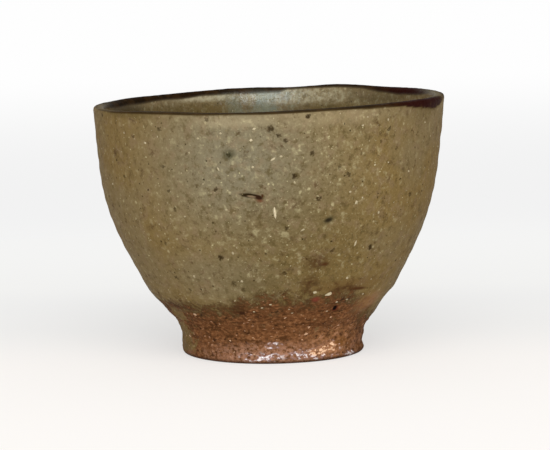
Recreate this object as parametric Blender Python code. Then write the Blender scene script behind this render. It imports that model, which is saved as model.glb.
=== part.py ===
"""Hand-thrown stoneware tea cup, modelled the way a potter makes it.

A thrown clay bowl stands on a separately thrown foot ring. A clay fillet is pressed into the angle
between them. A glaze coat covers the outside down to a wandering line on the fillet, a second coat
lines the inside, and a thin iron wash caps the lip.

The frame is in metres, +Z up, with the origin on the table under the middle of the cup.
"""

import math

import bmesh
import bpy

# Overall sizes of the finished cup
RIM_DIAMETER = 0.0950
HEIGHT = 0.0685
SHOULDER_DIAMETER = 0.0664
SHOULDER_HEIGHT = 0.0174
FOOT_DIAMETER = 0.0488

# Clay thicknesses
LIP_THICKNESS = 0.0020
SHOULDER_THICKNESS = 0.0054
FLOOR_THICKNESS = 0.0055

# Foot: BASE_HEIGHT is from the table to the flat underside of the bowl, inside the ring
FOOT_RING_WIDTH = 0.0062
FOOT_WALL_HEIGHT = 0.0045
FOOT_EDGE_ROUND = 0.0012
BASE_HEIGHT = 0.0080
FILLET_EDGE = 0.0018

# Coats, and the clearance that every seated piece keeps to its seat
GLAZE_THICKNESS = 0.00045
WASH_THICKNESS = 0.0003
SEAT_GAP = 0.0003

# Where the coats end: the wash starts on the lip's outer curve, at an angle above the horizontal,
# and reaches down inside; the glaze line lies below the shoulder
WASH_EDGE = math.radians(48)
WASH_REACH_INSIDE = 0.0024
GLAZE_LINE_DROP = 0.0030

# Slopes of the wall, from the vertical, and how far each end's slope carries, as a share of the chord
SHOULDER_SLOPE = math.radians(28.8)
LIP_SLOPE = math.radians(6.4)
SHOULDER_CARRY = 0.53
LIP_CARRY = 0.40
FLARE_FOOT_CARRY = 0.20
FLARE_SHOULDER_CARRY = 0.27
FLOOR_CARRY = 0.45

# Marks of the hand: (waves round the cup, swing, angle of the first crest)
LIP_WAVES = (
    (1, 0.00095, 0.0),
    (2, 0.00035, math.radians(77)),
    (4, 0.00014, math.radians(41)),
    (5, 0.00011, math.radians(8)),
)
OUT_OF_ROUND = (
    (2, 0.00025, math.radians(60)),
    (3, 0.00020, math.radians(30)),
)
GLAZE_LINE_WAVES = (
    (2, 0.0006, math.radians(100)),
    (3, 0.0007, math.radians(255)),
    (7, 0.0005, math.radians(20)),
)

# Facets
SEGMENTS = 48
FINE = 96
WALL_ROWS = 8
HEEL_ROWS = 4
FLOOR_ROWS = 6
LIP_ROWS = 5
FLARE_ROWS = 5
EDGE_ROWS = 3

COAT_STAND = SEAT_GAP + GLAZE_THICKNESS
WASH_STAND = SEAT_GAP + WASH_THICKNESS
FOOT_RADIUS = FOOT_DIAMETER / 2
FOOT_INNER_RADIUS = FOOT_RADIUS - FOOT_RING_WIDTH
LIP_OUTER = -LIP_SLOPE
LIP_INNER = math.pi - LIP_SLOPE


def clear_scene():
    for obj in list(bpy.data.objects):
        bpy.data.objects.remove(obj)


# Outlines are lists of (radius, height) pairs


def bezier(start, start_handle, end_handle, end, rows):
    """rows + 1 points along a cubic curve."""
    points = []
    for row in range(rows + 1):
        t = row / rows
        weights = ((1 - t) ** 3, 3 * t * (1 - t) ** 2, 3 * t * t * (1 - t), t**3)
        pairs = (start, start_handle, end_handle, end)
        points.append(tuple(sum(w * p[axis] for w, p in zip(weights, pairs)) for axis in (0, 1)))
    return points


def arc(centre, radius, first, last, rows):
    """rows + 1 points along a circle, between two angles from the outward direction."""
    angles = [first + (last - first) * row / rows for row in range(rows + 1)]
    return [(centre[0] + radius * math.cos(a), centre[1] + radius * math.sin(a)) for a in angles]


def step(point, direction, distance):
    return (point[0] + direction[0] * distance, point[1] + direction[1] * distance)


def towards(point, goal):
    """Two thirds of the way to a corner, the handle of a curve that rounds it."""
    return (point[0] + (goal[0] - point[0]) * 2 / 3, point[1] + (goal[1] - point[1]) * 2 / 3)


def uphill(slope):
    """The unit direction that climbs outward at this slope from the vertical."""
    return (math.sin(slope), math.cos(slope))


def outward(slope):
    """The unit normal that points out of a wall of this slope."""
    return (math.cos(slope), -math.sin(slope))


def distances(points):
    """How far along the outline each of its points lies."""
    run = [0.0]
    for a, b in zip(points, points[1:]):
        run.append(run[-1] + math.dist(a, b))
    return run


def at(points, run, distance):
    """The point and the right-hand normal of an outline at a distance along it."""
    index = 1
    while index < len(points) - 1 and run[index] < distance:
        index += 1
    a, b = points[index - 1], points[index]
    length = run[index] - run[index - 1]
    share = (distance - run[index - 1]) / length
    direction = ((b[0] - a[0]) / length, (b[1] - a[1]) / length)
    return step(a, direction, share * length), (direction[1], -direction[0])


def even_points(points, first, last, rows):
    """rows + 1 even points from one distance along the outline to another."""
    run = distances(points)
    return [at(points, run, first + (last - first) * row / rows)[0] for row in range(rows + 1)]


def beyond(points, first):
    """The outline from a distance along it to its end."""
    run = distances(points)
    kept = [p for p, distance in zip(points, run) if distance > first + SEAT_GAP]
    return [at(points, run, first)[0], *kept]


def offset_outline(points, offset):
    """The outline moved to the right by offset, with a mean normal at each corner."""
    run = distances(points)
    tiny = run[-1] * 1e-6
    moved = []
    for point, distance in zip(points, run):
        before = at(points, run, max(distance - tiny, 0.0))[1]
        after = at(points, run, min(distance + tiny, run[-1]))[1]
        normal = (before[0] + after[0], before[1] + after[1])
        length = math.hypot(*normal)
        moved.append(step(point, (normal[0] / length, normal[1] / length), offset))
    return moved


def between_radii(points, low, high):
    """The part of an outline of growing radius that lies between two radii, ends cut exactly."""

    def cut(radius):
        for a, b in zip(points, points[1:]):
            if a[0] <= radius <= b[0]:
                share = (radius - a[0]) / (b[0] - a[0])
                return (radius, a[1] + share * (b[1] - a[1]))
        return (radius, points[0][1] if radius < points[0][0] else points[-1][1])

    margin = SEAT_GAP / 10
    inner = [p for p in points if low + margin < p[0] < high - margin]
    return [cut(low), *inner, cut(high)]


# Clay surfaces


def wall_top():
    """The finished wall's upper end, low enough that the washed lip's crest is at HEIGHT."""
    climb = math.sin(LIP_SLOPE) * (COAT_STAND + LIP_THICKNESS / 2)
    return (RIM_DIAMETER / 2, HEIGHT - WASH_STAND - LIP_THICKNESS / 2 - climb)


def clay_wall(rows):
    """Outside of the clay from the shoulder up to the lip, under the glaze."""
    start = (SHOULDER_DIAMETER / 2, SHOULDER_HEIGHT)
    end = wall_top()
    chord = math.dist(start, end)
    finished = bezier(
        start,
        step(start, uphill(SHOULDER_SLOPE), SHOULDER_CARRY * chord),
        step(end, uphill(LIP_SLOPE), -LIP_CARRY * chord),
        end,
        rows,
    )
    clay = offset_outline(finished, -COAT_STAND)
    clay[0] = step(start, outward(SHOULDER_SLOPE), -COAT_STAND)
    clay[-1] = step(end, outward(LIP_SLOPE), -COAT_STAND)
    return clay


def lip(first, last, rows):
    """Round top of the clay between two angles, going from the outside over to the inside."""
    centre = step(clay_wall(1)[-1], outward(LIP_SLOPE), -LIP_THICKNESS / 2)
    return arc(centre, LIP_THICKNESS / 2, first, last, rows)


def clay_inside(wall_rows, floor_rows):
    """Inside of the clay, from the lip down the wall and in to the middle of the floor."""
    wall = clay_wall(wall_rows)
    run = distances(wall)
    inner = []
    for distance in run:
        point, normal = at(wall, run, distance)
        thinning = (SHOULDER_THICKNESS - LIP_THICKNESS) * distance / run[-1]
        inner.append(step(point, normal, thinning - SHOULDER_THICKNESS))
    inner[0] = step(wall[0], outward(SHOULDER_SLOPE), -SHOULDER_THICKNESS)
    inner[-1] = lip(LIP_OUTER, LIP_INNER, 1)[-1]
    inner.reverse()
    heel = inner[-1]
    middle = (0.0, BASE_HEIGHT + FLOOR_THICKNESS)
    drop = math.dist(heel, middle) * FLOOR_CARRY
    down = step(heel, uphill(SHOULDER_SLOPE), -(heel[1] - middle[1]) / math.cos(SHOULDER_SLOPE))
    floor = bezier(heel, down, step(middle, (1, 0), drop), middle, floor_rows)
    return inner[:-1] + floor


def flare_handles():
    """The four handles of the fillet's outside: up from the foot's wall, then into the wall's slope."""
    foot_top = (FOOT_RADIUS, FOOT_WALL_HEIGHT + SEAT_GAP)
    shoulder = step(clay_wall(1)[0], uphill(SHOULDER_SLOPE), -SEAT_GAP)
    chord = math.dist(foot_top, shoulder)
    bend = step(foot_top, (0, 1), FLARE_FOOT_CARRY * chord)
    under = step(shoulder, uphill(SHOULDER_SLOPE), -FLARE_SHOULDER_CARRY * chord)
    return foot_top, bend, under, shoulder


def flare(rows):
    """Outside of the fillet, from the foot's straight wall out to the shoulder."""
    return bezier(*flare_handles(), rows)


def underside(rows):
    """Under the bowl: the flat base from the middle, then the heel up to the fillet's ledge.

    The heel runs in to the ledge parallel with the flare, so the fillet keeps its thickness.
    """
    ledge = step(clay_wall(1)[0], outward(SHOULDER_SLOPE), -FILLET_EDGE)
    base_edge = (FOOT_INNER_RADIUS - SEAT_GAP, BASE_HEIGHT)
    bend, shoulder = flare_handles()[1::2]
    spread = (shoulder[0] - bend[0]) / (shoulder[1] - bend[1])
    corner = (ledge[0] - spread * (ledge[1] - BASE_HEIGHT), BASE_HEIGHT)
    heel = bezier(base_edge, towards(base_edge, corner), towards(ledge, corner), ledge, rows)
    return [(0.0, BASE_HEIGHT), *heel]


# Waves of the hand, added to a turned shape


def swing(waves, angle):
    return sum(size * math.cos(count * (angle - crest)) for count, size, crest in waves)


def ease(share):
    share = min(max(share, 0.0), 1.0)
    return share * share * (3 - 2 * share)


def hand_shaped(radius, height, angle):
    """The place of an outline's point at an angle: the rim wanders, the foot stays true."""
    share = ease((height - SHOULDER_HEIGHT) / (HEIGHT - SHOULDER_HEIGHT))
    lift = swing(LIP_WAVES, angle) * share
    spread = radius * (1 + swing(OUT_OF_ROUND, angle) / (RIM_DIAMETER / 2) * share)
    return (spread * math.cos(angle), spread * math.sin(angle), height + lift)


# Solids


def material(name, colour, roughness):
    made = bpy.data.materials.new(name)
    made.use_nodes = True
    shader = made.node_tree.nodes["Principled BSDF"]
    shader.inputs["Base Color"].default_value = (*colour, 1.0)
    shader.inputs["Roughness"].default_value = roughness
    shader.inputs["Metallic"].default_value = 0.0
    made.diffuse_color = (*colour, 1.0)
    return made


def turned(name, outline_at, finish):
    """One solid lofted round the axis from the outline at each angle.

    outline_at(angle) runs anticlockwise in the (radius, height) plane. Points on the axis become poles,
    and an outline with none is closed into a ring.
    """
    mesh = bmesh.new()
    angles = [2 * math.pi * index / SEGMENTS for index in range(SEGMENTS)]
    outlines = [outline_at(angle) for angle in angles]
    loops = []
    for row, (radius, height) in enumerate(outlines[0]):
        if radius == 0.0:
            loops.append([mesh.verts.new((0.0, 0.0, height))] * SEGMENTS)
            continue
        loops.append([mesh.verts.new(hand_shaped(*outlines[i][row], a)) for i, a in enumerate(angles)])
    pairs = list(zip(loops, loops[1:]))
    if outlines[0][0][0] != 0.0:
        pairs.append((loops[-1], loops[0]))
    for low, high in pairs:
        for index in range(SEGMENTS):
            after = (index + 1) % SEGMENTS
            corners = [low[index], low[after], high[after], high[index]]
            mesh.faces.new(dict.fromkeys(corners))
    data = bpy.data.meshes.new(name)
    mesh.to_mesh(data)
    mesh.free()
    data.shade_smooth()
    data.set_sharp_from_angle(angle=math.radians(50))
    data.materials.append(finish)
    obj = bpy.data.objects.new(name, data)
    bpy.context.scene.collection.objects.link(obj)
    return obj


def bowl(finish):
    outline = [
        *underside(HEEL_ROWS),
        *clay_wall(WALL_ROWS),
        *lip(LIP_OUTER, LIP_INNER, LIP_ROWS)[1:],
        *clay_inside(WALL_ROWS, FLOOR_ROWS)[1:],
    ]
    return turned("bowl", lambda angle: outline, finish)


def foot_ring(finish):
    """Ring with rounded treading edges, its top shaped to the bowl, its outside stepped for the fillet."""
    low = FOOT_EDGE_ROUND
    step_radius = FOOT_RADIUS - FILLET_EDGE
    seat = offset_outline(underside(HEEL_ROWS * 2), SEAT_GAP)
    outline = [
        *arc((FOOT_INNER_RADIUS + low, low), low, math.pi, 1.5 * math.pi, EDGE_ROWS),
        *arc((FOOT_RADIUS - low, low), low, 1.5 * math.pi, 2 * math.pi, EDGE_ROWS),
        (FOOT_RADIUS, FOOT_WALL_HEIGHT),
        (step_radius, FOOT_WALL_HEIGHT),
        *reversed(between_radii(seat, FOOT_INNER_RADIUS, step_radius)),
    ]
    return turned("foot_ring", lambda angle: outline, finish)


def foot_fillet(finish):
    """Clay pressed into the outer angle between the ring and the bowl."""
    inner_radius = FOOT_RADIUS - FILLET_EDGE + SEAT_GAP
    seat = offset_outline(underside(HEEL_ROWS * 2), SEAT_GAP)
    top = step(seat[-1], uphill(SHOULDER_SLOPE), -SEAT_GAP)
    hidden = between_radii([*seat[:-1], top], inner_radius, top[0])
    outline = [
        (inner_radius, FOOT_WALL_HEIGHT + SEAT_GAP),
        *flare(FLARE_ROWS),
        *reversed(hidden),
    ]
    return turned("foot_fillet", lambda angle: outline, finish)


def coat(points, thickness):
    """Closed outline of a coat on a stretch of clay, out along its face and back along its seat."""
    face = offset_outline(points, SEAT_GAP + thickness)
    seat = offset_outline(points, SEAT_GAP)
    return [*face, *reversed(seat)]


def outer_glaze(finish):
    """Coat from the wandering glaze line on the fillet up to the wash."""
    skirt = flare(FINE)
    run = distances(skirt)
    edge = WASH_EDGE - SEAT_GAP / (LIP_THICKNESS / 2 + SEAT_GAP)
    above = [*clay_wall(WALL_ROWS), *lip(LIP_OUTER, edge, EDGE_ROWS)[1:]]

    def outline_at(angle):
        line = SHOULDER_HEIGHT - GLAZE_LINE_DROP + swing(GLAZE_LINE_WAVES, angle)
        first = next(d for d, point in zip(run, skirt) if point[1] >= line)
        return coat([*even_points(skirt, first, run[-1], EDGE_ROWS)[:-1], *above], GLAZE_THICKNESS)

    return turned("outer_glaze", outline_at, finish)


def lip_wash(finish):
    """Cap over the lip, from its outer curve to a little way down the inside."""
    inside = clay_inside(FINE, FINE)
    reach = at(inside, distances(inside), WASH_REACH_INSIDE)[0]
    outline = coat([*lip(WASH_EDGE, LIP_INNER, LIP_ROWS), reach], WASH_THICKNESS)
    return turned("lip_wash", lambda angle: outline, finish)


def inner_glaze(finish):
    """Lining of the whole inside below the wash."""
    lined = beyond(clay_inside(WALL_ROWS, FLOOR_ROWS), WASH_REACH_INSIDE + SEAT_GAP)
    face = offset_outline(lined, COAT_STAND)
    seat = offset_outline(lined, SEAT_GAP)
    outline = [
        (0.0, lined[-1][1] + SEAT_GAP),
        *reversed(seat[:-1]),
        *face[:-1],
        (0.0, lined[-1][1] + COAT_STAND),
    ]
    return turned("inner_glaze", lambda angle: outline, finish)


def main():
    clear_scene()
    bowl(material("bowl_clay", (0.21, 0.105, 0.055), 0.6))
    foot_ring(material("foot_clay", (0.105, 0.042, 0.022), 0.4))
    foot_fillet(material("fillet_clay", (0.16, 0.075, 0.036), 0.5))
    outer_glaze(material("ash_glaze", (0.21, 0.18, 0.095), 0.45))
    inner_glaze(material("liner_glaze", (0.22, 0.19, 0.11), 0.35))
    lip_wash(material("iron_wash", (0.022, 0.014, 0.009), 0.35))


main()
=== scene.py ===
"""Looks of a hand-thrown stoneware tea cup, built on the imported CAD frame.

One finished outline runs from the foot's tread, up the outside, over the lip and down to the middle of
the floor. Each piece is a stretch of it with its own thickness, so neighbours meet without a step.
Lengths are in millimetres until a mesh or a node takes them, and on the stage they are in metres.
Angles run from +X towards +Y, so the front of the cup is at -90 degrees.
"""

import functools
import math
import random

import bmesh
import bpy
import numpy as np
from mathutils import Matrix, Vector, noise

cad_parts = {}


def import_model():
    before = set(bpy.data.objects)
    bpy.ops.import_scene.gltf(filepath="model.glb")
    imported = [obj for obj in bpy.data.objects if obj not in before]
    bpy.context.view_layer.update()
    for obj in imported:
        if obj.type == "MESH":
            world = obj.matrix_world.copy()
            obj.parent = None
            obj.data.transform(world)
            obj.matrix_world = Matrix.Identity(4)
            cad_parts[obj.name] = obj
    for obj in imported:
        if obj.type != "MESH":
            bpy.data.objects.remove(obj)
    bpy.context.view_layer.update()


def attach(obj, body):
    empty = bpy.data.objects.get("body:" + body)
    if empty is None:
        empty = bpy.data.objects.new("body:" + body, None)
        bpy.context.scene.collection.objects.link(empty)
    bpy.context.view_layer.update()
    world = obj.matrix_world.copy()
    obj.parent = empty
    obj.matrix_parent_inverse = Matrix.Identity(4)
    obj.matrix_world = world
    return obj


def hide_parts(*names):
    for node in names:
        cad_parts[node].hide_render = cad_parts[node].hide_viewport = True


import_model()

MM = 0.001
COLUMNS = 512

# Finished outline: radii, heights, slopes, and how far each curve carries the slopes of its ends
FOOT_RADIUS = 24.4
FOOT_INNER = 18.2
FOOT_ROUND = 0.8
FOOT_TOP = 4.65
FLARE_START = 4.5
FLARE_RISE = 8.64
FLARE_END = (32.82, 16.91)
SHOULDER = (33.2, 17.4)
SHOULDER_SLOPE = math.radians(28.8)
SHOULDER_CARRY = 0.53
SHOULDER_WALL = 6.8
HEIGHT = 68.35
RIM_RADIUS = 47.3
LIP_THICK = 3.2
LIP_SLOPE = math.radians(6.4)
LIP_CARRY = 0.40
LIP_EDGE_POWER = 0.55
FLOOR_TOP = 14.2
FLOOR_CARRY = 0.45
SOFTEN = 0.5

# Coats: thickness, where the wash starts on the lip's curve, how far it goes inside, and the glaze line
GLAZE_SKIN = 0.45
WASH_EDGE = math.radians(48)
WASH_REACH = 2.4
GLAZE_LINE = 14.4

# Seats that don't show, and the bare underside
FILLET_DEPTH = 2.0
FILLET_STEP = 0.05
FOOT_SEAT = ((22.2, FOOT_TOP), (22.2, 8.6), (20.2, 7.75), (18.6, 7.7), (18.3, 7.4))
FOOT_WALL_TOP = 7.0
BASE_HEIGHT = 8.0
BASE_RISE = 0.1
BASE_FIRST = 0.7
BASE_RADIUS = 18.0
BASE_CALM = 1.5
TRIM_STEP = 2.3
TRIM_DEPTH = 0.10
TRIM_RIM = 2
TRIM_MIDDLE = 3
BOWL_UNDER = ((18.4, 8.1), (21.2, 8.2), (25.2, 11.7), (30.6, 18.6))
BOWL_GAP = 0.06
BOWL_START = 0.6
BOWL_END = 0.8
LINING_END = 0.6

# Rows of faces, as (on the face, on the seat), then on the foot's face, the underside and the bowl's wall
OUTSIDE_ROWS = (138, 10)
LIP_ROWS = (44, 8)
INSIDE_ROWS = (110, 20)
FILLET_ROWS = (34, 6)
FOOT_ROWS = 18
BASE_ROWS = 49
BOWL_ROWS = 69

# Waves of the hand: (waves round the cup, swing, angle of the first crest in degrees)
LIP_WAVES = ((1, 0.95, 0), (2, 0.35, 77), (4, 0.14, 41), (5, 0.11, 8))
OUT_OF_ROUND = ((2, 0.25, 60), (3, 0.20, 30))
GLAZE_LINE_WAVES = ((2, 0.6, 100), (3, 0.7, 255), (7, 0.5, 20))

# The waves grow from the shoulder up to WARP_TOP, and the lip's own lifts grow over LIFT_OVER
WARP_TOP = 68.5
WARP_RADIUS = 47.5
LIFT_FROM = 52
LIFT_OVER = 14
LIFT_BLUR = (-5, -2.5, 0, 2.5, 5)

# How far the foot spreads at the table, as (angle, spread), and up to which height
FOOT_SPREAD = ((-180, 0), (-75, 0), (-45, 0.4), (-20, 0.55), (10, 0.4), (40, 0.1), (60, 0), (180, 0))
SPREAD_HEIGHT = 2.5

# Where the green glaze turns to bare brown clay, as (angle, height), and how softly
CLAY_EDGE = (
    (-180, 13.6), (-144, 15.0), (-123, 13.9), (-111, 15.2), (-104, 16.8), (-95, 17.6), (-80, 17.6),
    (-69, 18.2), (-60, 19.4), (-54, 18.6), (-45, 15.7), (-33, 12.1), (-22, 10.2), (-8, 9.0), (10, 10.0),
    (45, 15.2), (90, 17.5), (135, 15.4), (180, 13.6),
)
CLAY_SOFTNESS = 9.0

# Dark iron on the lip: (angle, drop below the crest outside, drop inside, strength)
IRON_RUN = (
    (-180, 0.25, 1.3, 0.5), (-168, 0.25, 1.1, 0.35), (-152, 0.45, 1.0, 0.45), (-138, 0.6, 1.1, 0.62),
    (-100, 0.55, 1.2, 0.62), (-70, 0.6, 1.2, 0.66), (-50, 0.85, 1.2, 0.85), (-41, 1.1, 1.2, 0.95),
    (-34, 1.8, 1.2, 1.0), (-26, 2.6, 1.3, 1.0), (-20, 2.8, 1.2, 1.0), (-15, 2.6, 1.1, 0.75),
    (-10, 1.4, 1.0, 0.35), (0, 0.6, 1.0, 0.6), (9, 0.6, 1.0, 0.7), (18, 0.7, 1.2, 0.9),
    (26, 0.8, 1.5, 1.0), (36, 0.9, 1.9, 1.0), (45, 0.7, 1.3, 1.0), (53, 0.6, 0.8, 1.0),
    (70, 0.6, 0.7, 1.0), (77, 0.5, 0.45, 0.9), (83, 0.5, 0.5, 0.9), (86, 0.6, 1.4, 0.9),
    (95, 0.6, 1.75, 0.85), (104, 0.7, 1.6, 0.9), (116, 0.7, 1.3, 1.0), (140, 0.6, 1.8, 1.0),
    (155, 0.5, 1.8, 1.0), (170, 0.4, 1.5, 0.8), (180, 0.25, 1.3, 0.5),
)

# The iron's edge: its softness on each side, how far inside it ends, and its faint fringe outside
IRON_EDGE_OUT = 0.35
IRON_EDGE_IN = 1.5
IRON_LAST = 8
IRON_WANDER = 0.2
FRINGE = 0.3
FRINGE_LEAST = 0.45
FRINGE_GROWTH = 0.35

# Where the crest of the lip is pale, partly worn by use and partly a painted highlight: (angle, share made
# pale, width), and how far past the crest
CREST_WEAR_AND_HIGHLIGHT = (
    (-180, 0.6, 1.2), (-150, 0.4, 0.9), (-120, 0, 0.9), (-58, 0, 0.4), (-44, 0.5, 0.4),
    (-26, 0.6, 0.45), (-18, 0.85, 0.9), (-8, 0.9, 1.3), (8, 0.75, 1.4), (18, 0.35, 1.2), (28, 0, 1.2),
    (160, 0, 1.0), (180, 0.6, 1.2),
)
CREST_WEAR_AND_HIGHLIGHT_PAST = 0.5

# Gloss starts this far past the crest, and is full over this length
GLOSS_FROM = 0.2
GLOSS_OVER = 1.4

# Small local rises and falls of the lip, as (angle, lift)
LIP_LIFT = (
    (-180, 0.5), (-165, 0.2), (-150, 0), (-62, 0), (-50, 0.15), (-40, 0.35), (-30, 0.5), (-18, 0.4),
    (0, 0.45), (15, 0.2), (28, 0), (45, -0.36), (56, 0.05), (64, 0.28), (72, -0.05), (79, -0.5),
    (86, -0.3), (93, -0.05), (99, 0.15), (107, 0.12), (116, 0), (126, -0.2), (138, -0.05), (158, 0.12),
    (170, 0.45), (180, 0.5),
)

# Noise in the surface: rows of (height, wave length, octaves, flattening, seed)
EDGE_NOISE = ((1.3, 6.0, 3, 1.0, 3), (0.4, 1.6, 1, 1.0, 4))
BODY_NOISE = ((0.17, 20, 1, 1.0, 1), (0.08, 8, 1, 1.0, 2), (0.06, 2.0, 3, 1.0, 5))
CLAY_NOISE = ((0.26, 2.4, 2, 1.6, 7), (0.18, 7, 2, 3.0, 8))
RING_NOISE = ((2.2, 14, 1, 1.0, 6),)
RIDGE_NOISE = ((0.8, 11, 1, 1.0, 10),)
FOOT_NOISE = ((0.14, 3.0, 3, 2.0, 9),)
BASE_NOISE = ((0.09, 1.8, 3, 1.0, 11),)
IRON_NOISE = ((0.25, 14.0, 2, 1.0, 21),)

# Throwing rings, and a spiral on the inside that fades at its start, its rim and its middle
RING_STEP = 4.4
RING_DEPTH = 0.045
SPIRAL_STEP = 4.6
SPIRAL_DEPTH = 0.12
SPIRAL_RADIUS = 30
SPIRAL_START = 6
SPIRAL_RIM = 8
SPIRAL_MIDDLE = 3

# The flare's ridge and the hollow above it: (height, half height, depth)
FLARE_RIDGE = ((5.4, 2.2, 0.20), (9.2, 1.5, -0.22))

# The surface calms down near the rim, at the tread and at the middle of the floor
CALM_FROM = 58
CALM_OVER = 6
CALM_CUT = 0.12
CALM_SHARE = 0.5
TREAD_FLAT = 0.4
TREAD_OVER = 2.0
MIDDLE_OVER = 2

# Dents and bumps in the surface: (angle, height, half width, half height, depth, tilt)
DENTS = (
    (-95.6, 46.9, 3.3, 0.8, -0.42, -8),
    (-57.2, 15.0, 0.85, 0.8, -0.75, 0),
    (-69.8, 39.8, 1.5, 1.0, -0.16, 20),
    (-102.5, 57.6, 1.2, 0.9, -0.12, 0),
    (-109.0, 30.2, 0.8, 0.8, -0.25, 0),
    (-50.0, 31.4, 0.8, 0.7, -0.25, 0),
    (38.0, 40.0, 2.6, 0.8, -0.35, 10),
    (121.0, 29.0, 1.1, 0.9, -0.35, 0),
    (160.0, 52.0, 0.9, 0.8, -0.30, 0),
    (84.0, 55.0, 1.4, 0.7, -0.25, -25),
    (180.0, 38.0, 40.0, 32.0, 0.2, 0),
    (0.0, 65.0, 16.0, 7.0, 0.4, 0),
    (-6.0, 10.4, 12.0, 3.2, 0.6, 0),
    (180.0, 7.5, 9.0, 4.5, -0.25, 0),
)
DENT_EDGE = 1.3


# Outline


def bezier(a, b, c, d, count):
    t = np.linspace(0, 1, count)[:, None]
    a, b, c, d = (np.array(p, float) for p in (a, b, c, d))
    return (1 - t) ** 3 * a + 3 * t * (1 - t) ** 2 * b + 3 * t * t * (1 - t) * c + t**3 * d


def arc(centre, radius, first, last, count):
    a = np.linspace(first, last, count)
    return np.stack([centre[0] + radius * np.cos(a), centre[1] + radius * np.sin(a)], 1)


def uphill(slope):
    return np.array([math.sin(slope), math.cos(slope)])


def outward(slope):
    return np.array([math.cos(slope), -math.sin(slope)])


class Outline:
    """A softened curve of (radius, height) points, with its point and normal at any distance along it."""

    def __init__(self, points):
        steps = np.linalg.norm(np.diff(points, axis=0), axis=1)
        points = points[np.r_[True, steps > 1e-6]]
        run = np.r_[0, np.cumsum(np.linalg.norm(np.diff(points, axis=0), axis=1))]
        self.length = run[-1]
        self.run = np.linspace(0, self.length, 4000)
        half = int(SOFTEN / self.run[1])
        window = np.hanning(2 * half + 3)[1:-1]
        self.r, self.z = (self.softened(np.interp(self.run, run, column), window) for column in points.T)
        dr, dz = np.gradient(self.r), np.gradient(self.z)
        size = np.hypot(dr, dz)
        self.nr, self.nz = dz / size, -dr / size

    def softened(self, values, window):
        padded = np.pad(values, len(window) // 2, mode="reflect", reflect_type="odd")
        return np.convolve(padded, window / window.sum(), "valid")

    def at(self, u):
        return [np.interp(u, self.run, values) for values in (self.r, self.z, self.nr, self.nz)]

    def where(self, r, z):
        return self.run[np.argmin((self.r - r) ** 2 + (self.z - z) ** 2)]


def lip_curve(centre, half):
    """A lip with a tight outer edge that rolls more gently towards the inside."""
    turn = np.linspace(0, math.pi, 61)
    power = np.where(turn < math.pi / 2, LIP_EDGE_POWER, 1.0)[:, None]
    out = np.sign(np.cos(turn))[:, None] * np.abs(np.cos(turn))[:, None] ** power
    up = np.clip(np.sin(turn), 0, 1)[:, None] ** power
    return np.array(centre) + half * (out * outward(LIP_SLOPE) + up * uphill(LIP_SLOPE))


def finished_outline():
    """The whole outline, and the distances along it of the wash's start, the crest and the wash's end."""
    foot = arc((FOOT_RADIUS - FOOT_ROUND, FOOT_ROUND), FOOT_ROUND, -math.pi / 2, 0, 20)
    flare = bezier((FOOT_RADIUS, FLARE_START), (FOOT_RADIUS, FLARE_RISE), FLARE_END, SHOULDER, 80)
    half = LIP_THICK / 2
    top = np.array([RIM_RADIUS, HEIGHT - half - math.sin(LIP_SLOPE) * half])
    low = np.array(SHOULDER)
    chord = np.linalg.norm(top - low)
    leave = low + uphill(SHOULDER_SLOPE) * SHOULDER_CARRY * chord
    arrive = top - uphill(LIP_SLOPE) * LIP_CARRY * chord
    wall = bezier(low, leave, arrive, top, 200)
    centre = top - outward(LIP_SLOPE) * half
    lip = lip_curve(centre, half)
    tangent = np.gradient(wall, axis=0)
    tangent /= np.linalg.norm(tangent, axis=1)[:, None]
    thick = np.linspace(SHOULDER_WALL, LIP_THICK, len(wall))[:, None]
    inner = (wall - thick * np.stack([tangent[:, 1], -tangent[:, 0]], 1))[::-1]
    heel = inner[-1]
    down = heel - uphill(SHOULDER_SLOPE) * (heel[1] - FLOOR_TOP) / math.cos(SHOULDER_SLOPE)
    bend = (FLOOR_CARRY * np.hypot(heel[0], heel[1] - FLOOR_TOP), FLOOR_TOP)
    floor = bezier(heel, down, bend, (0, FLOOR_TOP), 120)
    whole = Outline(np.concatenate([foot, flare, wall, lip[1:], inner[1:], floor[1:]]))
    wash = centre + half * np.array([math.cos(WASH_EDGE), math.sin(WASH_EDGE)])
    crest = whole.run[np.argmax(whole.z)]
    return whole, whole.where(*wash), crest, whole.where(*lip[-1]) + WASH_REACH


SKIN, U_WASH, U_CREST, U_REACH = finished_outline()
U_FOOT = SKIN.where(FOOT_RADIUS, FOOT_TOP)
U_SHOULDER = SKIN.where(*SHOULDER)
ON_OUTSIDE = SKIN.run < U_WASH
ANGLES = np.linspace(0, 2 * math.pi, COLUMNS, endpoint=False)


def outside_at(values, height):
    """One of the outline's values where its outside reaches a height."""
    return np.interp(height, SKIN.z[ON_OUTSIDE], values[ON_OUTSIDE])


def swing(waves, angle):
    return sum(size * np.cos(count * (angle - math.radians(crest))) for count, size, crest in waves)


LINE = outside_at(SKIN.run, GLAZE_LINE + swing(GLAZE_LINE_WAVES, ANGLES))


# Surface


def ease(x):
    x = np.clip(x, 0, 1)
    return x * x * (3 - 2 * x)


def by_angle(table, angle):
    """The columns of a table of (degrees, value, ...) rows, read at each angle."""
    table = np.array(table, float)
    degrees = (np.degrees(angle) + 180) % 360 - 180
    return [np.interp(degrees, table[:, 0], column) for column in table.T[1:]]


def around(r, z, angle):
    return np.stack([r * np.cos(angle), r * np.sin(angle), z], -1)


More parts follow.
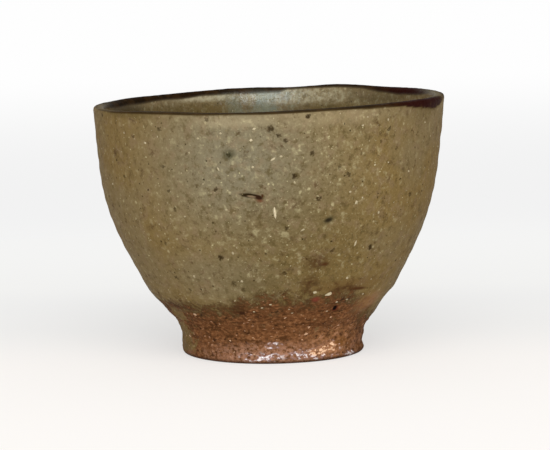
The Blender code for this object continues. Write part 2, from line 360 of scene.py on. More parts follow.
def hand_shaped(r, z, angle):
    """Points of the outline set round the cup: spread at the table, out of round and waved at the lip."""
    share = ease((z - SHOULDER[1]) / (WARP_TOP - SHOULDER[1]))
    r = r * (1 + swing(OUT_OF_ROUND, angle) / WARP_RADIUS * share)
    r = r + by_angle(FOOT_SPREAD, angle)[0] * (1 - ease(z / SPREAD_HEIGHT))
    near = [by_angle(LIP_LIFT, angle + math.radians(step))[0] for step in LIFT_BLUR]
    lift = swing(LIP_WAVES, angle) * share + np.mean(near, axis=0) * ease((z - LIFT_FROM) / LIFT_OVER)
    return around(r, z + lift, angle)


def field(points, size, octaves, stretch, seed):
    """Perlin noise at each point, in waves about size long that are flattened by stretch in height."""
    flat = points.reshape(-1, 3) / size * np.array([1, 1, stretch]) + seed * 17.3
    if octaves == 1:
        values = [noise.noise(p) for p in flat]
    else:
        values = [noise.fractal(p, 1.0, 2.0, octaves) for p in flat]
    return np.array(values).reshape(points.shape[:-1])


def lumpy(points, rows):
    """The sum of several noises at each point."""
    return sum(height * field(points, *row) for height, *row in rows)


def clay_share(points, angle):
    """1 on bare clay, 0 under full glaze, with a soft ragged border."""
    (edge,) = by_angle(CLAY_EDGE, angle)
    ragged = edge + lumpy(points, EDGE_NOISE)
    return np.clip((ragged - points[..., 2]) / CLAY_SOFTNESS + 0.5, 0, 1)


def dents(r, z, angle):
    """The dents and bumps of the outside, added up."""
    total = np.zeros_like(z)
    for degrees, height, wide, high, depth, tilt in DENTS:
        across = ((angle - math.radians(degrees) + math.pi) % (2 * math.pi) - math.pi) * r
        up = z - height
        turn = math.radians(tilt)
        a = (across * math.cos(turn) + up * math.sin(turn)) / wide
        b = (up * math.cos(turn) - across * math.sin(turn)) / high
        total += depth * (1 - ease(np.hypot(a, b) / DENT_EDGE))
    return total


def relief(u, angle):
    """How far the made surface stands off the finished outline."""
    r, z, _, _ = SKIN.at(u)
    points = around(r, z, angle)
    outside = u < U_WASH
    clay = clay_share(points, angle) * outside
    rings = np.sin(2 * math.pi * z / RING_STEP + angle + lumpy(points, RING_NOISE))
    d = lumpy(points, BODY_NOISE) + RING_DEPTH * rings
    ridge = sum(depth * np.exp(-(((z - height) / half) ** 2)) for height, half, depth in FLARE_RIDGE)
    d = d + clay * (lumpy(points, CLAY_NOISE) + ridge * (1 + lumpy(points, RIDGE_NOISE)))
    inside = (u > U_REACH) * ease((u - U_REACH) / SPIRAL_START)
    spiral = np.sin(2 * math.pi * r / SPIRAL_STEP - angle)
    spiral = spiral * ease((SPIRAL_RADIUS - r) / SPIRAL_RIM) * ease(r / SPIRAL_MIDDLE)
    d = d + inside * SPIRAL_DEPTH * spiral
    d = d + outside * dents(r, z, angle)
    near_rim = ease((z - CALM_FROM) / CALM_OVER)
    d = d - near_rim * (CALM_CUT + CALM_SHARE * np.maximum(d, 0))
    return d * ease((u - TREAD_FLAT) / TREAD_OVER) * ease(r / MIDDLE_OVER)


def surface(u, angle, offset=0.0, made=None):
    """Points of the made surface, moved along its normal by offset."""
    r, z, nr, nz = SKIN.at(u)
    made = relief(u, angle) if made is None else made
    return hand_shaped(r + nr * (made + offset), z + nz * (made + offset), angle)


# Meshes


def place(name, data):
    obj = bpy.data.objects.new(name, data)
    bpy.context.scene.collection.objects.link(obj)
    return obj


def new_mesh(name, verts, faces, values):
    """A smooth mesh, with a number at each of its points for each name in values."""
    data = bpy.data.meshes.new(name)
    data.from_pydata((np.array(verts) * MM).tolist(), [], faces)
    data.shade_smooth()
    for key, numbers in values.items():
        layer = data.attributes.new(key, "FLOAT", "POINT")
        layer.data.foreach_set("value", np.array(numbers, np.float32))
    return data


def mesh_piece(name, loops, close, values, borders):
    """A solid from rings of points. A ring of one point is a pole. close joins the last ring to the first.

    The rings in borders are where the face turns in to its seat, and they shade as sharp edges.
    """
    verts, starts = [], []
    for loop in loops:
        starts.append((len(verts), len(loop)))
        verts.extend(loop)
    pairs = list(zip(starts, starts[1:]))
    if close:
        pairs.append((starts[-1], starts[0]))
    faces = []
    for (a, a_count), (b, b_count) in pairs:
        count = max(a_count, b_count)
        for i in range(count):
            j = (i + 1) % count
            corners = [a + i % a_count, a + j % a_count, b + j % b_count, b + i % b_count]
            faces.append(tuple(dict.fromkeys(corners)))
    data = new_mesh(name, verts, faces, values)
    ring = np.concatenate([np.full(len(loop), i) for i, loop in enumerate(loops)])
    ends = np.zeros(len(data.edges) * 2, int)
    data.edges.foreach_get("vertices", ends)
    ends = ring[ends.reshape(-1, 2)]
    sharp = (ends[:, 0] == ends[:, 1]) & np.isin(ends[:, 0], borders)
    data.attributes.new("sharp_edge", "BOOLEAN", "EDGE").data.foreach_set("value", sharp)
    return place(name, data)


def grid(first, last, rows):
    """(rows + 1, COLUMNS) distances between two borders, each a number or one number for each angle."""
    t = np.linspace(0, 1, rows + 1)[:, None]
    return first + (last - first) * t + np.zeros(COLUMNS)


def clay_values(loops):
    """The clay share at every point of a piece."""
    points = np.concatenate([np.array(loop).reshape(-1, 3) for loop in loops])
    return clay_share(points, np.arctan2(points[:, 1], points[:, 0]))


def lip_dark(u, angle):
    """How dark the iron is, which runs a little down both sides of the crest, and how pale the crest is,
    partly from wear and partly a painted highlight.
    """
    r, z, _, _ = SKIN.at(u)
    out_drop, in_drop, strength = by_angle(IRON_RUN, angle)
    wear_and_highlight, width = by_angle(CREST_WEAR_AND_HIGHLIGHT, angle)
    wander = lumpy(around(r, z, angle), IRON_NOISE)
    past = u - U_CREST
    outside = past < 0
    reach = np.where(outside, out_drop, in_drop) * (1 + wander) + IRON_WANDER * wander
    drop = SKIN.z.max() - z
    softness = np.where(outside, IRON_EDGE_OUT, IRON_EDGE_IN)
    run = ease((reach - drop) / softness + 0.5) * (past < IRON_LAST)
    fringe = FRINGE * ease(1 - (drop - reach) / (FRINGE_LEAST + FRINGE_GROWTH * out_drop))
    run = np.where(outside, np.maximum(run, fringe), run)
    pale = wear_and_highlight * np.exp(-(((past - CREST_WEAR_AND_HIGHLIGHT_PAST) / width) ** 2))
    return run * strength * (1 - pale), pale


def face_and_seat(first, last, rows):
    """A face on the made surface and its seat just under it, turned back: distances, then rings."""
    u, under = (grid(first, last, count) for count in rows)
    under = under[::-1]
    return u, under, list(surface(u, ANGLES)), list(surface(under, ANGLES, -GLAZE_SKIN))


def coat_piece(name, first, last, rows, with_clay=False):
    """A closed coat: its face on the made surface and its seat just under it."""
    u, under, face, seat = face_and_seat(first, last, rows)
    loops = face + seat
    both = np.concatenate([u, under])
    iron, wear_and_highlight = lip_dark(both, ANGLES)
    gloss = ease((both - U_CREST - GLOSS_FROM) / GLOSS_OVER) * (1 - iron)
    values = {"iron": iron.ravel(), "wear_and_highlight": wear_and_highlight.ravel(), "gloss": gloss.ravel()}
    if with_clay:
        values["clay"] = clay_values(loops)
    return mesh_piece(name, loops, True, values, (0, len(face) - 1))


def lining_piece(name, first, rows):
    """The inner glaze: a closed skin that reaches the middle of the floor."""
    u, under, face, seat = face_and_seat(first, SKIN.length - LINING_END, rows)
    loops = [[(0, 0, FLOOR_TOP - GLAZE_SKIN)], *seat, *face, [(0, 0, FLOOR_TOP)]]
    both = np.concatenate([under, u])
    iron = np.r_[0.0, lip_dark(both, ANGLES)[0].ravel(), 0.0]
    return mesh_piece(name, loops, False, {"iron": iron, "gloss": 1 - iron}, (len(seat) + 1,))


def fillet_piece(name):
    """Clay in the angle above the foot: bare below the glaze line, sunk under the glaze above it."""
    face_rows, seat_rows = FILLET_ROWS
    bare = grid(U_FOOT, LINE, face_rows)
    sunk = grid(LINE + FILLET_STEP, U_SHOULDER, seat_rows)
    back = grid(U_FOOT, U_SHOULDER, seat_rows)[::-1]
    loops = list(surface(bare, ANGLES))
    loops += list(surface(sunk, ANGLES, -GLAZE_SKIN))
    loops += list(surface(back, ANGLES, -FILLET_DEPTH))
    return mesh_piece(name, loops, True, {"clay": clay_values(loops)}, (0, face_rows))


def foot_piece(name):
    """The foot ring: its outside on the made surface, then the seat, the inner wall and the tread."""
    loops = list(surface(grid(0.0, U_FOOT, FOOT_ROWS), ANGLES))
    inner = FOOT_INNER + FOOT_ROUND
    wall = [(FOOT_INNER, z) for z in np.linspace(FOOT_WALL_TOP, FOOT_ROUND, 12)]
    inner_round = arc((inner, FOOT_ROUND), FOOT_ROUND, math.pi, 1.5 * math.pi, 7)
    tread = [(r, 0.0) for r in np.linspace(inner, FOOT_RADIUS - FOOT_ROUND, 7)[1:-1]]
    for r, z in [*FOOT_SEAT, *wall, *inner_round[1:], *tread]:
        level = np.full(COLUMNS, z)
        points = hand_shaped(np.full(COLUMNS, r), level, ANGLES)
        lump = lumpy(points, FOOT_NOISE) * ease(z / BASE_CALM)
        loops.append(hand_shaped(r + lump, level, ANGLES))
    return mesh_piece(name, loops, True, {"clay": clay_values(loops)}, (FOOT_ROWS,))


def bowl_piece(name):
    """The thrown bowl under its coats, with a trimmed spiral on the bare underside."""
    columns = ANGLES[::2]
    ones = np.ones(columns.shape)
    loops = [[(0, 0, BASE_HEIGHT + BASE_RISE)]]
    for r in np.linspace(BASE_FIRST, BASE_RADIUS, BASE_ROWS + 1):
        points = around(r, BASE_HEIGHT * ones, columns)
        turn = TRIM_DEPTH * np.sin(2 * math.pi * r / TRIM_STEP - columns)
        turn = turn * ease(r / TRIM_MIDDLE) * ease((BASE_RADIUS - r) / TRIM_RIM)
        rough = lumpy(points, BASE_NOISE) * ease((BASE_RADIUS - r) / BASE_CALM)
        points[..., 2] += BASE_RISE + turn + rough
        loops.append(points)
    for r, z in bezier(*BOWL_UNDER, 8):
        loops.append(hand_shaped(r * ones, z * ones, columns))
    for u in np.linspace(U_SHOULDER + BOWL_START, SKIN.length - BOWL_END, BOWL_ROWS + 1):
        loops.append(surface(u * ones, columns, -GLAZE_SKIN - BOWL_GAP))
    loops.append([(0, 0, FLOOR_TOP - GLAZE_SKIN - BOWL_GAP)])
    return mesh_piece(name, loops, False, {}, ())


# Grit that stands in the surface: (angle, height, half width, half height, tilt, paleness)
SEEN_GRIT = (
    (-64.2, 19.4, 1.15, 0.75, 5, 0.8), (-71.0, 20.1, 0.65, 0.42, 0, 0.7),
    (-57.2, 23.5, 0.45, 0.4, 0, 0.6), (-60.0, 43.8, 0.45, 0.65, -20, 0.6),
    (-57.7, 32.9, 0.35, 0.9, -8, 0.6), (-88.4, 42.2, 0.34, 1.55, 6, 1.1),
    (-94.5, 64.1, 0.5, 0.35, 0, 0.7), (-95.5, 61.2, 0.42, 0.45, 30, 0.8),
    (-133.0, 60.1, 0.42, 0.33, 0, 0.7), (-112.5, 61.7, 0.4, 0.3, 0, 0.4),
    (-105.0, 63.1, 0.35, 0.3, 0, 0.5), (-95.2, 54.4, 0.42, 0.38, 0, 0.6),
    (-106.2, 53.9, 0.28, 0.6, 30, 0.6), (-115.8, 58.0, 0.33, 0.3, 0, 0.4),
    (-156.0, 48.5, 0.45, 0.33, 0, 0.5), (-59.0, 63.3, 0.38, 0.3, 0, 0.6),
    (-48.8, 64.1, 0.33, 0.4, 0, 0.5), (-53.5, 53.0, 0.42, 0.33, 0, 0.5),
    (-37.0, 50.4, 0.42, 0.33, 0, 0.4), (-88.8, 56.2, 0.85, 0.28, 30, 0.7),
    (-86.3, 56.8, 0.45, 0.28, 15, 0.5), (-82.0, 50.0, 0.33, 0.42, 0, 0.4),
    (-62.8, 46.6, 0.38, 0.33, 0, 0.5), (-50.0, 40.6, 0.38, 0.45, 0, 0.5),
    (-122.5, 24.8, 0.42, 0.42, 0, 0.4), (-102.0, 23.8, 0.42, 0.4, 0, 0.5),
    (-104.0, 31.6, 0.38, 0.5, 10, 0.5), (-120.0, 41.2, 0.38, 0.33, 0, 0.4),
    (-104.5, 43.3, 0.38, 0.3, 0, 0.4), (-79.0, 37.5, 0.65, 0.25, 25, 0.4),
    (-58.4, 16.8, 0.42, 0.36, 0, 0.9), (-69.8, 7.9, 0.6, 0.4, 30, 0.9),
    (-90.5, 17.1, 0.42, 0.34, 0, 0.6), (-83.2, 13.0, 0.5, 0.2, 30, 0.6),
    (-81.8, 15.6, 0.4, 0.25, -30, 0.5), (-80.0, 14.4, 0.42, 0.2, 20, 0.5),
    (-68.5, 9.6, 0.28, 0.45, -30, 0.6), (-61.5, 14.2, 0.42, 0.36, 0, 0.6),
    (-57.5, 12.3, 0.36, 0.3, 0, 0.5), (-48.0, 9.3, 0.45, 0.32, 20, 0.6),
    (-53.5, 17.3, 0.4, 0.3, 0, 0.5), (-44.5, 18.2, 0.4, 0.3, 20, 0.4),
    (-133.8, 13.1, 0.6, 0.42, 0, 0.5), (-116.5, 6.2, 0.36, 0.3, 0, 0.8),
    (-98.5, 15.3, 0.34, 0.28, 0, 0.5), (-94.5, 16.2, 0.38, 0.3, 0, 0.5),
    (-101.8, 12.5, 0.45, 0.2, 30, 0.4), (-153.0, 5.8, 0.6, 0.5, 0, 0.4),
)

# Loose grit: (first and last distance along the outline, count, least and greatest half width)
LOOSE_GRIT = (
    (float(LINE.max()) + 1.0, U_WASH - 1.0, 900, 0.11, 0.36),
    (3.0, float(LINE.min()), 160, 0.12, 0.34),
    (U_REACH + 1.5, SKIN.length - 8.0, 420, 0.12, 0.38),
)

# How rare large loose stones are, their height as a share of their width, and how pale they can be
GRIT_SEED = 11
GRIT_POWER = 2.5
SLIM = (0.35, 0.95)
LOOSE_PALE = 0.8
SIDE_PALE = 0.65

# A stone's depth by its smaller half size, its least depth, the share it is sunk by, and its lumps
STONE_DEPTH = 0.28
STONE_LEAST = 0.04
STONE_SUNK = 0.45
STONE_LUMP = 0.45
STONE_WAVE = 1.6
STONE_APART = 3.1

# How finely a placed stone and a loose one are divided, and the steps that find the surface's slope
PLACED_LEVEL = 2
LOOSE_LEVEL = 1
PROBE_TURN = 0.004
PROBE_RUN = 0.1


def stone_shape(level):
    """Points and faces of a round stone of radius 1."""
    ball = bmesh.new()
    bmesh.ops.create_icosphere(ball, subdivisions=level, radius=1.0)
    points = np.array([v.co[:] for v in ball.verts])
    sides = [tuple(v.index for v in f.verts) for f in ball.faces]
    ball.free()
    return points, sides


def all_stones():
    """Every stone: (distance along the outline, angle, half width, half height, tilt, level, pale)."""
    rng = random.Random(GRIT_SEED)
    stones = []
    for degrees, height, wide, high, tilt, pale in SEEN_GRIT:
        u = float(outside_at(SKIN.run, height))
        stones.append((u, math.radians(degrees), wide, high, math.radians(tilt), PLACED_LEVEL, pale))
    for first, last, count, least, most in LOOSE_GRIT:
        for _ in range(count):
            u = rng.uniform(first, last)
            size = least + (most - least) * rng.random() ** GRIT_POWER
            slim = rng.uniform(*SLIM)
            turn = rng.uniform(0, 2 * math.pi)
            tilt = rng.uniform(0, math.pi)
            side = SIDE_PALE + (1 - SIDE_PALE) * abs(math.sin(turn))
            pale = LOOSE_PALE * rng.random() ** 2 * side
            stones.append((u, turn, size, size * slim, tilt, LOOSE_LEVEL, pale))
    return stones


def grit_piece(name):
    """Many small stones, each sunk to more than half its height in the surface that carries it."""
    stones = all_stones()
    shapes = {level: stone_shape(level) for level in (LOOSE_LEVEL, PLACED_LEVEL)}
    u = np.array([stone[0] for stone in stones])
    angle = np.array([stone[1] for stone in stones])
    made = relief(u, angle)
    centre = surface(u, angle, made=made)
    right = surface(u, angle + PROBE_TURN) - surface(u, angle - PROBE_TURN)
    up = surface(u + PROBE_RUN, angle, made=made) - surface(u - PROBE_RUN, angle, made=made)
    verts, faces, tint = [], [], []
    for i, (_, _, wide, high, tilt, level, pale) in enumerate(stones):
        shape, sides = shapes[level]
        a = right[i] / np.linalg.norm(right[i])
        b = up[i] - a * np.dot(up[i], a)
        b /= np.linalg.norm(b)
        n = np.cross(a, b)
        across = a * math.cos(tilt) + b * math.sin(tilt)
        along = b * math.cos(tilt) - a * math.sin(tilt)
        deep = STONE_DEPTH * min(wide, high) + STONE_LEAST
        own = Vector((i * STONE_APART, 0, 0))
        lumps = np.array([1 + STONE_LUMP * noise.noise(Vector(p) * STONE_WAVE + own) for p in shape])
        local = shape * lumps[:, None]
        body = np.outer(local[:, 0] * wide, across) + np.outer(local[:, 1] * high, along)
        body += np.outer(local[:, 2] * deep, n)
        base = len(verts)
        verts.extend(centre[i] - STONE_SUNK * deep * n + body)
        faces.extend(tuple(base + k for k in side) for side in sides)
        tint.extend([pale] * len(shape))
    return place(name, new_mesh(name, verts, faces, {"tint": tint}))


# Materials


def linear(*screen):
    """A screen colour from 0 to 255 as the linear colour that nodes take."""
    shares = [value / 255 for value in screen]
    return (*[v / 12.92 if v <= 0.04045 else ((v + 0.055) / 1.055) ** 2.4 for v in shares], 1.0)


def outside_point(degrees, height):
    """A point of the outside, in metres."""
    r = np.array(outside_at(SKIN.r, height))
    return tuple(hand_shaped(r, np.array(height), np.array(math.radians(degrees))) * MM)


class Graph:
    """Short names for the nodes that the materials are made of."""

    def __init__(self, name):
        self.material = bpy.data.materials.new(name)
        self.material.use_nodes = True
        self.tree = self.material.node_tree
        self.shader = self.tree.nodes["Principled BSDF"]
        self.where = self.add("ShaderNodeTexCoord").outputs["Object"]

    def add(self, kind, inputs=None, **settings):
        made = self.tree.nodes.new(kind)
        for key, value in settings.items():
            setattr(made, key, value)
        return self.fill(made, inputs or {})

    def fill(self, node, inputs):
        """Gives a node its inputs, each a plain value or another node's output."""
        for key, value in inputs.items():
            if isinstance(value, bpy.types.NodeSocket):
                self.tree.links.new(value, node.inputs[key])
            else:
                node.inputs[key].default_value = value
        return node

    def axis(self, name):
        """One coordinate of the place, in metres."""
        return self.add("ShaderNodeSeparateXYZ", {"Vector": self.where}).outputs[name]

    def value(self, name):
        return self.add("ShaderNodeAttribute", attribute_name=name).outputs["Fac"]

    def stretch(self, squash, shift):
        inputs = {"Vector": self.where, "Scale": (1, 1, squash), "Location": (shift, shift, shift)}
        return self.add("ShaderNodeMapping", inputs).outputs["Vector"]

    def noise(self, size, detail=3.0, rough=0.55, squash=1.0, shift=0.0):
        """Noise from 0 to 1 whose lumps are about size millimetres wide."""
        inputs = {"Vector": self.stretch(squash, shift), "Scale": 1 / MM / size}
        inputs |= {"Detail": detail, "Roughness": rough}
        return self.add("ShaderNodeTexNoise", inputs).outputs["Fac"]

    def pushed(self, vector, scale, reach, still):
        """A place pushed about by noise over reach millimetres. A noise of still doesn't push."""
        inputs = {"Vector": vector, "Scale": scale, "Detail": 2.0}
        push = self.add("ShaderNodeTexNoise", inputs).outputs["Color"]
        inputs = {0: push, 1: (still, still, still)}
        push = self.add("ShaderNodeVectorMath", inputs, operation="SUBTRACT").outputs[0]
        inputs = {0: push, "Scale": reach * MM}
        push = self.add("ShaderNodeVectorMath", inputs, operation="SCALE").outputs[0]
        return self.add("ShaderNodeVectorMath", {0: vector, 1: push}).outputs[0]

    def cells(self, size, shift, wobble, squash):
        """The distance in millimetres to the nearest seed, and two random numbers for its cell."""
        vector = self.pushed(self.stretch(squash, shift), 900.0, wobble, 0.0)
        made = self.add("ShaderNodeTexVoronoi", {"Vector": vector, "Scale": 1 / MM / size})
        colour = self.add("ShaderNodeSeparateColor", {"Color": made.outputs["Color"]})
        far = self.times(made.outputs["Distance"], size)
        return far, colour.outputs["Red"], colour.outputs["Green"]

    def maths(self, operation, a, b):
        return self.add("ShaderNodeMath", {0: a, 1: b}, operation=operation).outputs[0]

    def times(self, a, b):
        return self.maths("MULTIPLY", a, b)

    def larger(self, a, b):
        return self.maths("MAXIMUM", a, b)

    def span(self, value, low, high, first=0.0, last=1.0, smooth=True):
        """first where the value is at low, last where it is at high."""
        kind = "SMOOTHSTEP" if smooth else "LINEAR"
        inputs = {"Value": value, "From Min": low, "From Max": high, "To Min": first, "To Max": last}
        return self.add("ShaderNodeMapRange", inputs, interpolation_type=kind).outputs[0]

    def share(self, value, low, high, most):
        """0 where the value is at low, most where it is at high."""
        return self.span(value, low, high, 0.0, most)

    def mix(self, share, a, b):
        return self.add("ShaderNodeMix", {0: share, 6: a, 7: b}, data_type="RGBA").outputs[2]

    def tint(self, colour, share, strength, tone):
        """A colour turned towards a tone, by a share of the strength."""
        return self.mix(self.times(share, strength), colour, tone)

    def specks(self, size, share, least, most, shift, soft, wobble, squash=1.0):
        """Spots in a share of the cells, with radii from least to most in millimetres."""
        far, pick, grow = self.cells(size, shift, wobble, squash)
        radius = self.span(grow, 0.0, 1.0, least, most, smooth=False)
        inside = self.span(far, self.times(radius, soft), radius, 1.0, 0.0)
        return self.times(inside, self.maths("LESS_THAN", pick, share))

    def spots(self, marks):
        """Soft ragged spots at set places: (angle, height, radius, strength)."""
        ragged = self.pushed(self.where, 1400.0, 1.9, 0.5)
        spots = []
        for degrees, height, radius, strength in marks:
            inputs = {0: ragged, 1: outside_point(degrees, height)}
            gap = self.add("ShaderNodeVectorMath", inputs, operation="DISTANCE").outputs["Value"]
            spots.append(self.span(gap, radius * SPOT_CORE * MM, radius * SPOT_EDGE * MM, strength, 0.0))
        return functools.reduce(self.larger, spots)

    def patch(self, degrees, height, wide, high, tilt=0.0, core=0.5, deep=6.0):
        """A soft oval patch centred on the outside, with half sizes in millimetres."""
        turn = Matrix.Rotation(math.radians(degrees) + math.pi / 2, 4, "Z")
        turn = turn @ Matrix.Rotation(-math.radians(tilt), 4, "Y")
        inputs = {"Vector": self.where, "Location": outside_point(degrees, height)}
        inputs |= {"Rotation": tuple(turn.to_euler()), "Scale": (wide * MM, deep * MM, high * MM)}
        local = self.add("ShaderNodeMapping", inputs, vector_type="TEXTURE").outputs["Vector"]
        gap = self.add("ShaderNodeVectorMath", {0: local}, operation="LENGTH").outputs["Value"]
        return self.span(gap, core, 1.0, 1.0, 0.0)

    def patches(self, places, core=0.45):
        """Where any of several soft patches lies: each (angle, height, half width, half height)."""
        return functools.reduce(self.larger, [self.patch(*place, core=core) for place in places])

    def tinged(self, colour, places, deep):
        """A colour with soft tinges: each (angle, height, half width, half height, strength, tone)."""
        for *place, strength, tone in places:
            colour = self.tint(colour, self.patch(*place, core=0.2, deep=deep), strength, tone)
        return colour

    def bump(self, height, distance, strength, normal=None):
        inputs = {"Height": height, "Distance": distance * MM, "Strength": strength}
        if normal is not None:
            inputs["Normal"] = normal
        return self.add("ShaderNodeBump", inputs).outputs["Normal"]

    def glaze_over(self, weight, rough, index, normal):
        """A clear glassy coat, with its weight and normal from nodes."""
        inputs = {"Coat Weight": weight, "Coat Roughness": rough, "Coat IOR": index, "Coat Normal": normal}
        self.fill(self.shader, inputs)

    def finish(self, colour, rough, normal, gloss):
        inputs = {"Base Color": colour, "Roughness": rough, "Normal": normal, "Specular IOR Level": gloss}
        self.fill(self.shader, inputs)
        return self.material


# Ash glaze
OLIVE = linear(117, 95, 57)
OLIVE_GREY = linear(117, 108, 88)
OLIVE_DARK = linear(78, 64, 34)
UMBER = linear(114, 86, 46)
ROSE = linear(122, 100, 76)
CREAM = linear(182, 169, 130)
THIN_GLAZE = linear(170, 152, 120)
IRON = linear(36, 22, 3)
SMUDGE = linear(48, 46, 26)
PEARL = linear(158, 138, 102)

# Bare clay
BROWN = linear(112, 71, 42)
BROWN_DARK = linear(70, 42, 22)
BROWN_WARM = linear(148, 101, 66)
RED_BROWN = linear(96, 58, 38)
BURNT = linear(64, 44, 22)
STAIN = linear(66, 40, 21)
PIT = linear(44, 25, 14)
LAYER_DARK = linear(84, 52, 28)
UPPER_CLAY_AND_SHADE = linear(78, 50, 28)
CLAY_GRIT = linear(176, 140, 104)

# Melted ash on the foot, its painted glints, and a painted shadow along the tread
ASH_GRAIN = linear(170, 124, 99)
SILVER = linear(146, 110, 108)
SILVER_GLINT = linear(250, 236, 234)
GOLD = linear(174, 110, 60)
GOLD_GLINT = linear(252, 203, 161)
GOLD_SHADE = linear(112, 70, 26)
TREAD_CONTACT_SHADOW = linear(52, 32, 22)

# Inside and lip
LINER_PALE = linear(164, 154, 120)
LINER_HIGHLIGHT = linear(180, 168, 138)
LINER_SHADE = linear(60, 46, 18)
POOL_AND_REFLECTION_BLUE = linear(106, 116, 98)
WEAR_AND_HIGHLIGHT_GREY = linear(97, 93, 78)
LIP_IRON = linear(29, 18, 6)
LIP_BROWN = linear(48, 31, 12)
LIP_RED = linear(40, 7, 5)
LIP_FRINGE = linear(64, 49, 26)

# Stones
STONE_DULL = linear(118, 102, 66)
STONE_PALE = linear(195, 178, 147)
STONE_WARM = linear(196, 146, 112)
STONE_SPOT = linear(120, 101, 62)

# Specular level of glaze, lip and foot, and the shares of a spot's radius where it fades
MATT = 0.02
SPOT_CORE = 0.3
SPOT_EDGE = 0.85

# Iron spots in the glaze and pits in the clay: (angle, height, radius, strength)
DARK_SPOTS = (
    (-126.5, 63.8, 0.9, 0.7), (-138.5, 61.7, 0.9, 0.6), (-126.0, 54.0, 0.9, 0.6),
    (-146.0, 51.0, 1.0, 0.7), (-125.0, 47.7, 0.9, 0.6), (-107.5, 48.6, 1.0, 0.8),
    (-109.5, 66.5, 0.9, 0.7), (-77.8, 66.6, 1.1, 0.9), (-89.5, 64.0, 1.4, 0.8), (-87.2, 62.2, 1.1, 0.8),
    (-84.8, 60.8, 1.1, 0.75), (-82.0, 51.6, 1.2, 0.85), (-48.0, 61.7, 1.0, 0.7),
    (-36.5, 60.7, 0.9, 0.6), (-51.5, 58.7, 0.9, 0.6), (-44.2, 56.7, 0.9, 0.6), (-76.5, 57.2, 1.0, 0.75),
    (-64.0, 51.2, 1.3, 0.7), (-67.2, 53.2, 0.9, 0.6), (-74.0, 45.5, 1.0, 0.8), (-84.5, 38.1, 0.9, 0.7),
    (-50.0, 31.4, 1.3, 0.85), (-67.0, 31.5, 1.2, 0.7), (-84.8, 26.0, 0.9, 0.7), (-34.5, 44.4, 1.0, 0.7),
    (-123.5, 42.9, 0.8, 0.6), (-131.5, 33.4, 0.9, 0.6), (-109.0, 30.2, 1.3, 0.85),
    (-102.5, 57.6, 0.9, 0.8), (-132.0, 23.9, 1.0, 0.7), (-127.2, 20.7, 0.9, 0.7),
    (-105.5, 23.3, 1.0, 0.7), (-101.8, 21.3, 0.9, 0.6), (-158.8, 66.8, 1.0, 0.8),
)
CLAY_PITS = (
    (-55.8, 17.4, 0.9, 0.8), (-63.8, 13.4, 0.9, 0.7), (-39.0, 9.3, 0.9, 0.8), (-36.0, 9.4, 0.8, 0.7),
    (-79.8, 16.3, 0.9, 0.7), (-76.8, 10.7, 0.8, 0.6), (-129.2, 13.1, 0.8, 0.8),
    (-122.8, 10.6, 0.8, 0.7), (-128.0, 6.1, 0.9, 0.8), (-116.0, 5.7, 0.8, 0.8), (-105.8, 5.7, 0.8, 0.8),
    (-106.2, 9.2, 0.9, 0.7), (-104.2, 14.6, 1.5, 0.9), (-97.5, 13.4, 0.9, 0.7), (-99.5, 11.8, 0.9, 0.6),
    (-88.0, 14.9, 0.9, 0.6), (-70.5, 12.0, 1.0, 0.6), (-60.2, 10.6, 0.9, 0.6),
)

# Specks: (cell size, share of cells, least radius, greatest radius, shift, strength)
CREAM_SPECKS = ((1.5, 0.4, 0.14, 0.3, 3, 0.82), (2.8, 0.5, 0.30, 0.62, 4, 0.48))
IRON_SPECKS = ((2.1, 0.55, 0.18, 0.38, 5, 0.9), (6.0, 0.35, 0.30, 0.55, 7, 0.9))

# The share of its mottling that the glaze keeps at the sides of the cup
LEAST_LIVELY = 0.55

# Tinges of the glaze under the lip, and of the shoulder and foot, as Graph.tinged takes them
LIP_TINGES = (
    (-72, 66.5, 29, 4.0, 0.22, THIN_GLAZE),
    (-103, 65.9, 14, 2.4, 0.3, THIN_GLAZE),
    (-142, 67.5, 19, 1.8, 0.5, OLIVE_DARK),
    (-30, 65.0, 9, 4.0, 0.3, OLIVE_DARK),
)
FOOT_TINGES = (
    (-97, 22.5, 12, 4.0, 0.28, OLIVE_DARK),
    (-55, 21.3, 17, 3.2, 0.4, linear(92, 62, 32)),
    # Painted light: the next row lightens the flare's far right, which lies in shade
    (-36, 15.0, 9, 6.0, 0.5, BROWN_WARM),
    (-62, 10.0, 8, 3.0, 0.35, linear(72, 42, 20)),
)

# Soft patches: (angle, height, half width, half height)
STAINS = (
    (-72, 28.4, 5.2, 4.6), (-74, 22.8, 4.6, 4.0), (-56, 20.5, 7.0, 1.6),
    (-144, 15.6, 4.8, 2.2), (-106, 15.6, 4.6, 2.2),
)
GREEN_FILM = ((-165, 5.5, 12.0, 9.0), (-150, 12.5, 5.5, 4.5))
SILVER_RUNS = (
    (-97, 1.9, 7.5, 1.7), (-89, 4.9, 2.8, 1.4), (-73, 2.3, 5.0, 1.6),
    (-57, 1.4, 6.0, 1.1), (-33, 1.0, 4.0, 0.9),
)
SILVER_HEARTS = ((-95.5, 1.7, 2.8, 1.3), (-84, 2.3, 2.8, 1.4), (-73, 2.4, 2.4, 1.1))
GOLD_RUNS = ((-51.5, 3.4, 5.0, 2.5), (-61, 2.7, 4.0, 1.4))

